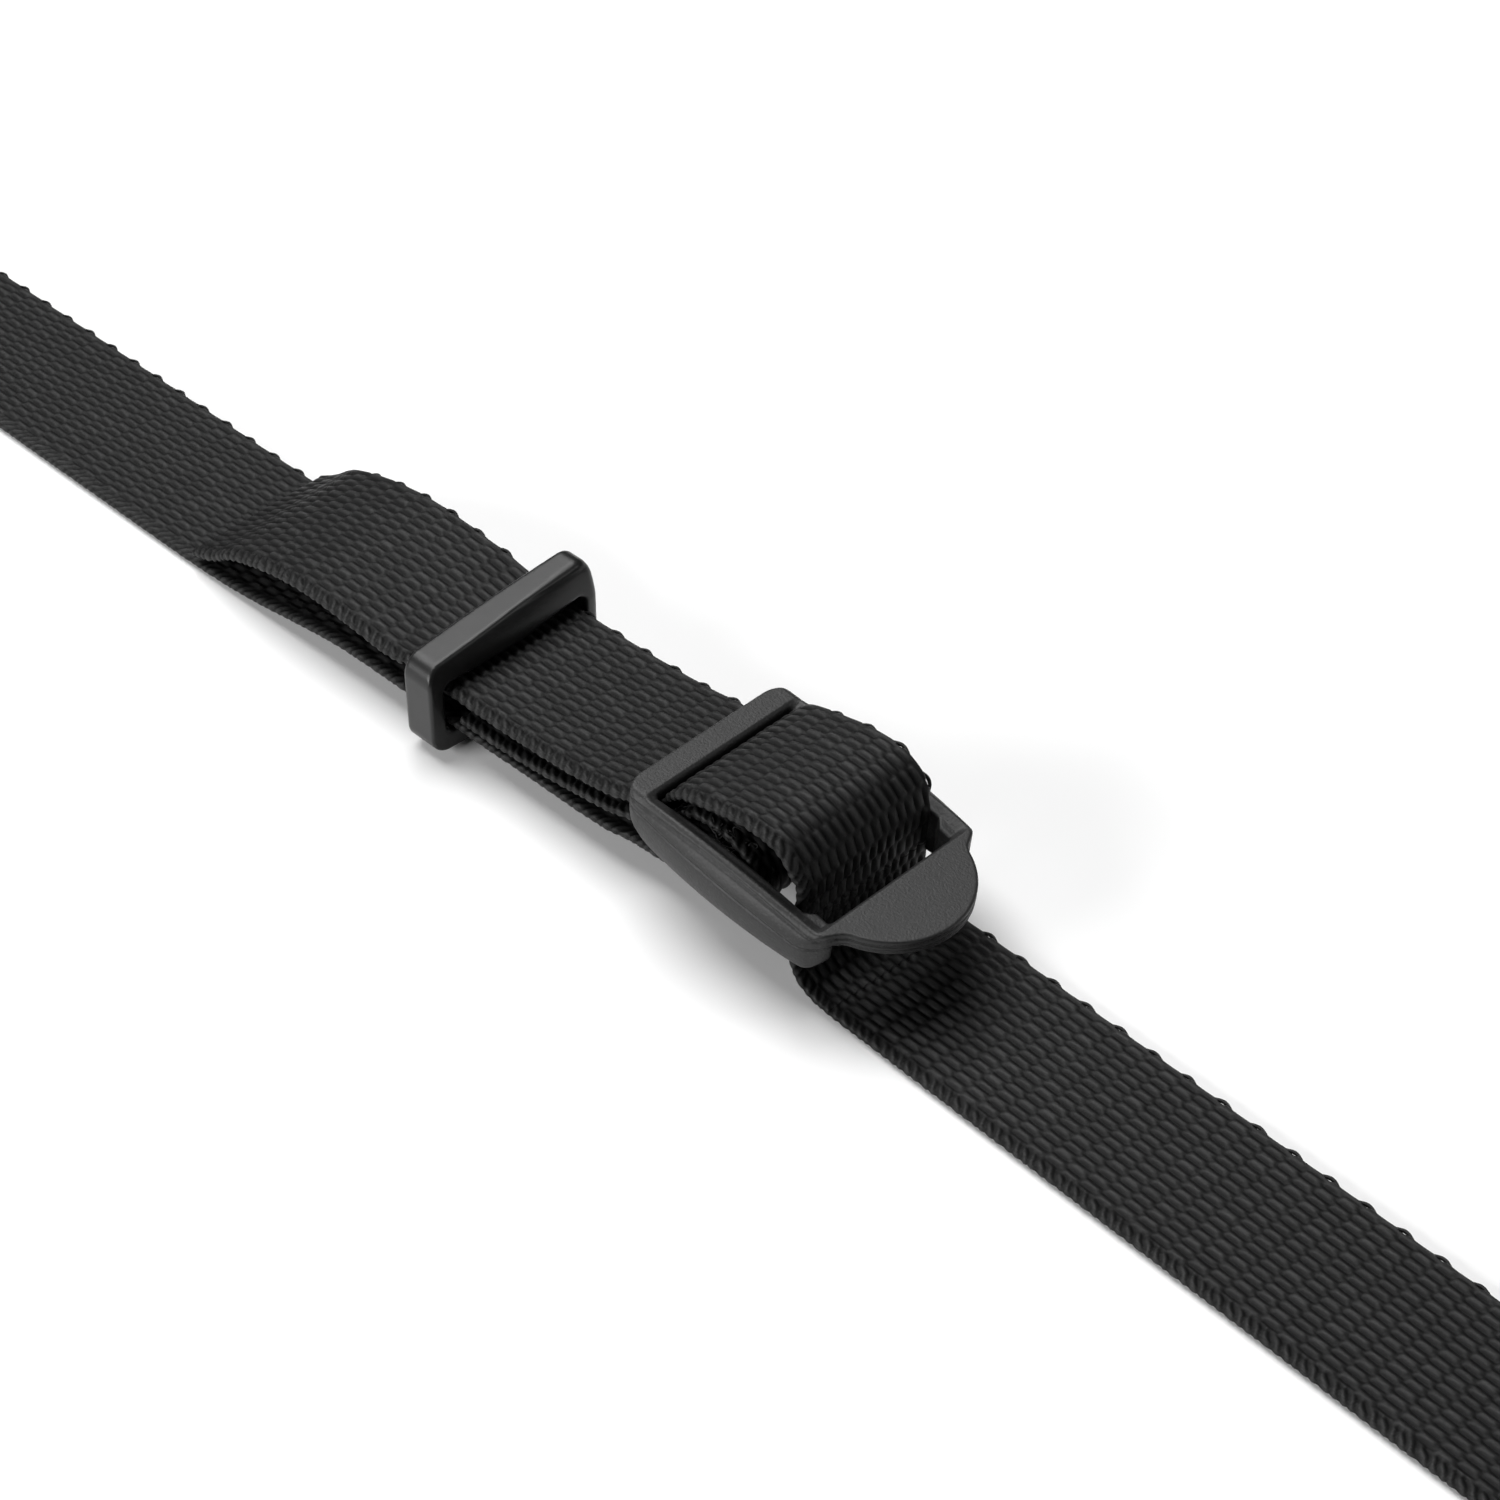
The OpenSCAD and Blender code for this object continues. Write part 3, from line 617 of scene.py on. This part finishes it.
def cover_field(x, y, z):
    """The cover leather, about the middle of its underside."""
    plan = rounded_box(x, y, COVER_L / 2, COVER_W / 2, 3)
    edge = np.clip(1 + plan / 4, 0, 1)
    seam = rounded_box(x, y, SEAM_L / 2, SEAM_W / 2, 0.5)
    sunk = 0.30 * np.exp(-((seam / 0.8) ** 2))
    return smooth_max(smooth_max(plan, z - COVER_T + 0.25 * edge**3 + sunk, 0.7), -z, 0.5)


# ---------------------------------------------------------------- shader maths


class Wire:
    """A shader socket that takes part in sums."""

    def __init__(self, tree, socket):
        self.tree, self.socket = tree, socket

    def node(self, kind, settings=None, inputs=None, out=0):
        """Any other node: its type, its settings, and the values or links of its sockets."""
        made = self.tree.nodes.new(kind)
        for key, value in (settings or {}).items():
            setattr(made, key, value)
        for key, value in (inputs or {}).items():
            if isinstance(value, Wire):
                self.tree.links.new(value.socket, made.inputs[key])
            else:
                made.inputs[key].default_value = value
        return Wire(self.tree, made.outputs[out])

    def sum(self, operation, *values):
        return self.node("ShaderNodeMath", {"operation": operation}, dict(enumerate(values)))

    def __add__(self, other):
        return self.sum("ADD", self, other)

    def __sub__(self, other):
        return self.sum("SUBTRACT", self, other)

    def __rsub__(self, other):
        return self.sum("SUBTRACT", other, self)

    def __mul__(self, other):
        return self.sum("MULTIPLY", self, other)

    def __pow__(self, other):
        return self.sum("POWER", self, other)

    __radd__ = __add__
    __rmul__ = __mul__

    def clamped(self):
        return self.sum("MINIMUM", self.sum("MAXIMUM", self, 0.0), 1.0)


def new_material(name):
    material = bpy.data.materials.new(name)
    material.use_nodes = True
    tree = material.node_tree
    shader = tree.nodes["Principled BSDF"]
    return material, Wire(tree, None), shader


def grey(level, warm=0.0):
    return (level * (1 + warm), level, level * (1 - warm * 0.6), 1)


def mixed(wire, factor, a, b):
    return wire.node("ShaderNodeMix", {"data_type": "RGBA"}, {0: factor, 6: a, 7: b}, out=2)


def noise(wire, where, scale, detail=2.0, rough=0.5):
    return wire.node("ShaderNodeTexNoise", None,
                     {"Vector": where, "Scale": scale, "Detail": detail, "Roughness": rough})


def stretched(wire, where, scale):
    return wire.node("ShaderNodeVectorMath", {"operation": "MULTIPLY"}, {0: where, 1: scale})


def bump(wire, height, strength, distance):
    return wire.node("ShaderNodeBump", None,
                     {"Height": height, "Strength": strength, "Distance": distance})


def attribute(wire, name, out="Fac"):
    return wire.node("ShaderNodeAttribute", {"attribute_name": name}, out=out)


def link(wire, shader, socket):
    wire.tree.links.new(wire.socket, shader.inputs[socket])


def webbing_material(name, tone=1.0):
    """Black woven webbing: satin filament floats over pits, with shade painted into the pits and glints
    painted on the floats.
    """
    material, w, shader = new_material(name)
    strap = attribute(w, "strap", "Vector")
    relief = attribute(w, "relief")
    filament = noise(w, stretched(w, strap, (0.9, 6.0, 3.0)), 1.7, 3.0, 0.65)
    twist = noise(w, stretched(w, strap, (0.7, 1.1, 1.0)), 1.0, 2.0)
    patches = noise(w, strap, 0.16, 2.0)
    # Painted shade: the colour darkens with the relief, to near black in the pits between the floats;
    # twist and patches add random tone.
    shade = relief ** 2.8
    pit_shade_and_tone = (shade * (0.62 + 0.55 * twist) * (0.82 + 0.36 * patches)).clamped()
    colour = mixed(w, pit_shade_and_tone, grey(0.0003 * tone), grey(0.022 * tone))
    glint = ((filament - 0.50) * 5.0).clamped() * shade * 0.4
    colour = mixed(w, glint, colour, grey(0.058 * tone))
    link(colour, shader, "Base Color")
    link(0.60 - 0.22 * relief + 0.14 * filament, shader, "Roughness")
    link(bump(w, filament, 0.5, 0.00007), shader, "Normal")
    shader.inputs["Specular IOR Level"].default_value = 0.17
    return material


def plastic_material(name, level, grain, grain_depth, roughness, speckle):
    """Moulded plastic with a fine eroded grain."""
    material, w, shader = new_material(name)
    where = attribute(w, "strap", "Vector")
    fine = noise(w, where, grain, 2.0, 0.6)
    broad = noise(w, where, 0.45, 3.0)
    dots = ((noise(w, where, grain * 0.8, 1.0) - 0.60) * 7.0).clamped()
    colour = mixed(w, (fine * 0.6 + broad * 0.4).clamped(), grey(level * 0.80), grey(level * 1.2))
    colour = mixed(w, dots * speckle, colour, grey(level * 2.1))
    link(colour, shader, "Base Color")
    link(roughness + 0.12 * (fine - 0.5) + 0.10 * (broad - 0.5), shader, "Roughness")
    link(bump(w, fine, 0.6, grain_depth), shader, "Normal")
    shader.inputs["Specular IOR Level"].default_value = 0.34
    return material


def leather_material(name):
    """Black pebbled leather, smoother and browner where it is handled."""
    material, w, shader = new_material(name)
    where = attribute(w, "strap", "Vector")
    warp = noise(w, where, 0.9, 2.0)
    cells = w.node("ShaderNodeTexVoronoi", {"feature": "DISTANCE_TO_EDGE"},
                   {"Vector": stretched(w, where, (1.0, 1.15, 1.0)), "Scale": 1.25})
    creases = (cells * 5.0).clamped() ** 0.6
    pores = noise(w, where, 5.0, 2.0)
    wear = ((noise(w, where, 0.12, 3.0) - 0.48) * 3.0).clamped()
    # Painted shade: the crease lines between the pebbles are coloured darker than the pebble tops, with
    # random tone from the warp noise.
    colour = mixed(w, (creases * (0.6 + 0.5 * warp)).clamped(), grey(0.006), grey(0.024, 0.16))
    colour = mixed(w, wear * 0.5, colour, grey(0.040, 0.22))
    link(colour, shader, "Base Color")
    link(0.56 - 0.14 * wear + 0.18 * (1 - creases), shader, "Roughness")
    link(bump(w, creases * 0.8 + pores * 0.25 + warp * 0.5, 0.7, 0.00022), shader, "Normal")
    shader.inputs["Specular IOR Level"].default_value = 0.45
    return material


def thread_material(name, level):
    """Bonded sewing thread with its plies showing."""
    material, w, shader = new_material(name)
    where = attribute(w, "strap", "Vector")
    plies = w.node("ShaderNodeTexWave", {"bands_direction": "DIAGONAL"},
                   {"Vector": where, "Scale": 1.1, "Distortion": 1.2, "Detail": 1.0})
    fuzz = noise(w, where, 6.0, 2.0)
    # Painted shade: the grooves between the plies are coloured darker than the plies, with random tone
    # from the fuzz.
    colour = mixed(w, (plies * 0.7 + fuzz * 0.3).clamped(), grey(level * 0.35), grey(level * 1.5))
    link(colour, shader, "Base Color")
    link(0.42 + 0.25 * fuzz, shader, "Roughness")
    link(bump(w, plies + 0.4 * fuzz, 0.6, 0.00012), shader, "Normal")
    return material


def floor_material():
    """A pale matt sweep, lit evenly."""
    material, w, shader = new_material("pale_floor")
    geometry = w.node("ShaderNodeNewGeometry")
    tone = noise(w, geometry, 9.0, 2.0)
    link(mixed(w, tone, grey(0.86), grey(0.90)), shader, "Base Color")
    shader.inputs["Roughness"].default_value = 0.9
    return material


WEBBING = webbing_material("woven_webbing")
BUCKLE_PLASTIC = plastic_material("buckle_plastic", 0.0130, 3.2, 0.00009, 0.48, 0.9)
KEEPER_PLASTIC = plastic_material("keeper_plastic", 0.0085, 4.0, 0.00002, 0.34, 0.1)
LEATHER = leather_material("button_leather")
THREAD = thread_material("black_thread", 0.020)
FIBRE = webbing_material("loose_fibres", 1.5)

# ---------------------------------------------------------------- the pieces


def free_width(x, z):
    return np.full(len(x), WOVEN_HALF_W)


def strap_width(x, z):
    """Half width of the webbing, pinched between the buckle's rails and free above them."""
    narrow = SLOT_W / 2 - 0.32
    along = np.clip(np.maximum(BUCKLE_REAR - 1 - x, x - SLOT_FRONT + 4) / 4, 0, 1)
    above = np.clip((z - BAR_Z - TOP_H - 1.2) / 1.5, 0, 1)
    below = np.clip((BAR_Z - 1.5 - z) / 2, 0, 1) * (x > 6)
    ease = np.maximum(along, np.maximum(above, below))
    return narrow + (WOVEN_HALF_W - narrow) * eased(ease)


def clear_of_buckle(x, z):
    return x < BUCKLE_REAR - 2.5 or x > SLOT_FRONT + 2.5 or z > BAR_Z + TOP_H + 2.6


def always(x, z):
    return True


def woven(node, route, s0, s1, place, fine=10):
    piece = webbing("woven_" + node, route, s0, s1, place, strap_width, clear_of_buckle, fine)
    return finish_piece(piece, "webbing", node)


def finish_piece(piece, slot, *nodes):
    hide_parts(*nodes)
    return piece


def frame_point(x, z, y=0.0):
    """A place beside the middle bar, in the frame and in metres."""
    return ((BAR_X + x) * MM, y * MM, z * MM)


def build_webbing():
    front, run = FRONT_ROUTE, RUNNING_ROUTE
    turn = front.where(LOOP_POINTS[0])
    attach(woven("front_webbing", front, 0.0, turn, at_bar, fine=8), "front_strap")
    loop = woven("anchor_loop", front, turn, front.length, at_bar)
    start = Vector(frame_point(SLOT_REAR + 4.75, BAR_Z - LOOP_R - 1.7))
    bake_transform(loop)

    marks = [run.where(RUNNING_POINTS[k]) for k in (0, 5, 16, 24, 30)]
    foot, rise, under, keeper, tail = marks
    rear = woven("rear_run", run, 0.0, foot, swung)
    frame_point(FOOT_X, 0)
    frame_point(REAR_FOLD_X, 0, -3.7)
    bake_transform(rear)
    rear_foot = woven("rear_foot", run, foot, rise, swung)
    frame_point(FOOT_X - 5, HALF_T + 1)
    frame_point(FOOT_X - 7, BAR_Z - 0.8)
    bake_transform(rear_foot)
    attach(woven("adjuster_bight", run, rise, under, at_bar), "buckle")
    back = woven("tail_run", run, under, keeper, at_bar)
    frame_point(SLOT_REAR - 12, 0)
    frame_point(SLOT_REAR + 1.1, 0)
    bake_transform(back)
    arch = woven("tail_arch", run, keeper, tail, rolled)
    frame_point(KEEPER_X - 4, 0)
    frame_point(KEEPER_X - 42, 0)
    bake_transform(arch)
    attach(woven("tail_tip", run, tail, run.length, rolled), "tail")

    half = FOLD_ROUTE.length / 2
    for end, place, body in (("front", at_front, "front_strap"), ("rear", at_rear, "rear_strap")):
        for part, s0, s1 in (("inner", 0.0, half), ("outer", half, FOLD_ROUTE.length)):
            node = end + "_folded_webbing"
            piece = webbing(f"woven_{end}_fold_{part}", FOLD_ROUTE, s0, s1, place,
                            free_width, always, 6)
            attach(finish_piece(piece, "webbing", node), body)


def build_mouldings():
    reach = 1.0
    buckle = moulded(
        "moulded_buckle", buckle_field,
        (BUCKLE_REAR - reach, -SLOT_W / 2 - RAIL_W - 2 * reach, TOP_H - RAIL_H - reach),
        (PLATE_FRONT + TAB_REACH + reach, SLOT_W / 2 + RAIL_W + 2 * reach, TOP_H + 2 * reach),
        0.19, buckle_place, BUCKLE_PLASTIC)
    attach(finish_piece(buckle, "buckle_plastic", "adjuster_buckle"), "buckle")
    low, high = (np.array(c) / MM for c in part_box("keeper_loop"))
    size = high - low
    keeper = moulded(
        "moulded_keeper", keeper_field, (-size[0] / 2 - 1.5, -size[1] / 2 - reach, -reach),
        (size[0] / 2 + 1.5, size[1] / 2 + reach, size[2] + 2 * reach), 0.24,
        lambda p: at_bar(p + np.array([KEEPER_X + KEEPER_L / 2, 0, KEEPER_LIFT])), KEEPER_PLASTIC)
    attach(finish_piece(keeper, "keeper_plastic", "keeper_loop"), "keeper")


def stitch(mesh, a, b, sink, radius):
    """One stitch of thread, which dives into the goods at both ends."""
    t = np.linspace(0, 1, 9)
    path = np.outer(1 - t, a) + np.outer(t, b)
    path[:, 2] += sink * (np.sin(np.pi * t) ** 0.5 - 1)
    slim = radius * (0.8 + 0.2 * np.sin(np.pi * t))
    along = np.column_stack([t * np.linalg.norm(np.array(b) - a), 0 * t, 0 * t])
    tube(mesh, path, slim, 7, 0.9, along)


def sewn_seam(x, z):
    """The cover's seam: a rectangle of stitches about x, at height z."""
    seam = Mesh()
    along, over = round(SEAM_L / STITCH_PITCH), round(SEAM_W / STITCH_PITCH)
    gap, sink = 0.22, 0.45
    for y in (-SEAM_W / 2, SEAM_W / 2):
        for k in range(along):
            start = x + SEAM_L * (k / along - 0.5)
            stitch(seam, (start + gap, y, z), (start + SEAM_L / along - gap, y, z), sink, THREAD_R)
    for side in (-SEAM_L / 2, SEAM_L / 2):
        for k in range(over):
            start = SEAM_W * (k / over - 0.5)
            end = start + SEAM_W / over - gap
            stitch(seam, (x + side, start + gap, z), (x + side, end, z), sink, THREAD_R)
    return seam


def build_leather():
    cover_x = HOLE_FROM_FOLD - HOLE_REACH - OVERLAP_L / 2
    cover_z = LEATHER_T + WEBBING_T
    for end, place, body in (("front", at_front, "front_strap"), ("rear", at_rear, "rear_strap")):
        tab = moulded(
            f"leather_{end}_tab", tab_field, (-HOLE_REACH - OVERLAP_L - 5, -LEATHER_W / 2 - 1, -0.8),
            (NOSE_R + 1, LEATHER_W / 2 + 1, LEATHER_T + 0.8), 0.4,
            lambda p: place(p + np.array([HOLE_FROM_FOLD, 0, 0])), LEATHER)
        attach(finish_piece(tab, "leather", f"{end}_tab_leather"), body)
        cover = moulded(
            f"leather_{end}_cover", cover_field, (-COVER_L / 2 - 1, -COVER_W / 2 - 1, -0.8),
            (COVER_L / 2 + 1, COVER_W / 2 + 1, COVER_T + 0.8), 0.4,
            lambda p: place(p + np.array([cover_x, 0, cover_z])), LEATHER)
        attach(finish_piece(cover, "leather", f"{end}_tab_cover"), body)
        seam = sewn_seam(cover_x, cover_z + COVER_T - 0.22)
        thread = seam.build(f"thread_{end}_seam", THREAD, place)
        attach(finish_piece(thread, "thread", f"{end}_tab_stitching"), body)


def build_anchor_stitches():
    """Three rows of tacks beside the keeper, through the front webbing and the loop's end."""
    mesh = Mesh()
    row_w, tacks, row_pitch = WEBBING_W - 7, 8, 2.6
    slant, gap, sink, radius, proud = 0.18, 0.12, 0.5, 0.24, 0.12
    low = MAIN_Z - HALF_T - proud
    high = FOLD_BACK_Z + HALF_T + proud
    for row in range(3):
        x = KEEPER_X + KEEPER_L + 4 + row_pitch * row
        for k in range(tacks):
            y0 = row_w * (k / tacks - 0.5) + gap
            y1 = row_w * ((k + 1) / tacks - 0.5) - gap
            stitch(mesh, (x - slant, y0, high), (x + slant, y1, high), sink, radius)
            a, b = np.array((x + slant, y0, -low)), np.array((x - slant, y1, -low))
            under = Mesh()
            stitch(under, a, b, sink, radius)
            flipped = under.verts[0] * np.array([1, 1, -1])
            mesh.add(flipped, [f[:, ::-1] for f in under.faces], under.strap[0], under.relief[0])
    thread = mesh.build("thread_anchor_tacks", THREAD, at_bar)
    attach(finish_piece(thread, "thread", "anchor_stitching"), "front_strap")


def build_fibres():
    """Loose filaments at the near edge, where the webbing's cut edge rubs in the slot."""
    rng = np.random.default_rng(7)
    mesh = Mesh()
    for _ in range(9):
        x = rng.uniform(SLOT_REAR + 3.5, 2.5)
        start = np.array([x, -SLOT_W / 2 + rng.uniform(0.3, 1.2), BAR_Z + rng.uniform(5.4, 8.2)])
        steps = rng.normal(0, 0.42, (7, 3)) + np.array([0.22, -0.05, -0.05])
        path = start + np.vstack([[0, 0, 0], np.cumsum(steps, 0)])
        path[:, 1] = np.clip(path[:, 1], -SLOT_W / 2 - 0.2, -SLOT_W / 2 + 2.0)
        tube(mesh, spline(path, 4), rng.uniform(0.07, 0.12), 5, 0.6)
    fibres = mesh.build("loose_fibres", FIBRE, at_bar)
    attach(fibres, "buckle")


# ---------------------------------------------------------------- camera and studio


def aim(obj, position, target, roll=0.0):
    forward = (Vector(target) - Vector(position)).normalized()
    turn = forward.to_track_quat("-Z", "Y").to_matrix().to_4x4()
    obj.matrix_world = Matrix.Translation(Vector(position)) @ turn @ Matrix.Rotation(roll, 4, "Z")


def build_camera():
    """A long lens from the near side, looking down along the strap's rear half."""
    target = Vector(frame_point(-16.6, 10.0, 8.1))
    azimuth, elevation, distance = math.radians(-45.233), math.radians(41.410), 0.4652
    ahead = Vector((math.sin(azimuth) * math.cos(elevation),
                    math.cos(azimuth) * math.cos(elevation), -math.sin(elevation)))
    data = bpy.data.cameras.new("camera")
    data.sensor_width = 36
    data.lens = 86.23
    camera = bpy.data.objects.new("camera", data)
    bpy.context.scene.collection.objects.link(camera)
    aim(camera, target - distance * ahead, target, math.radians(-0.135))
    bpy.context.scene.camera = camera


def area_light(name, position, target, size, power):
    data = bpy.data.lights.new(name, "AREA")
    data.shape = "RECTANGLE"
    data.size, data.size_y = size
    data.energy = power
    light = bpy.data.objects.new(name, data)
    bpy.context.scene.collection.objects.link(light)
    aim(light, position, target)


def build_studio():
    middle = Vector(frame_point(0, 0))
    bpy.ops.mesh.primitive_plane_add(size=6, location=(middle.x, 0, -0.0002))
    floor = bpy.context.object
    floor.name = "floor"
    floor.data.materials.append(floor_material())
    area_light("overhead", middle + Vector((-0.65, 0.18, 1.35)), middle, (1.3, 1.1), 29.0)
    area_light("near_fill", middle + Vector((-0.50, -1.50, 0.66)), middle, (1.1, 0.6), 24.0)
    area_light("far_glint", middle + Vector((0.85, 0.80, 0.95)), middle, (0.22, 0.22), 1.6)
    world = bpy.data.worlds.new("studio")
    bpy.context.scene.world = world
    world.use_nodes = True
    world.node_tree.nodes["Background"].inputs["Color"].default_value = (1, 1, 1, 1)
    world.node_tree.nodes["Background"].inputs["Strength"].default_value = 0.05
    bpy.context.scene.view_settings.view_transform = "Standard"


build_camera()
build_webbing()
build_mouldings()
build_leather()
build_anchor_stitches()
build_fibres()
build_studio()
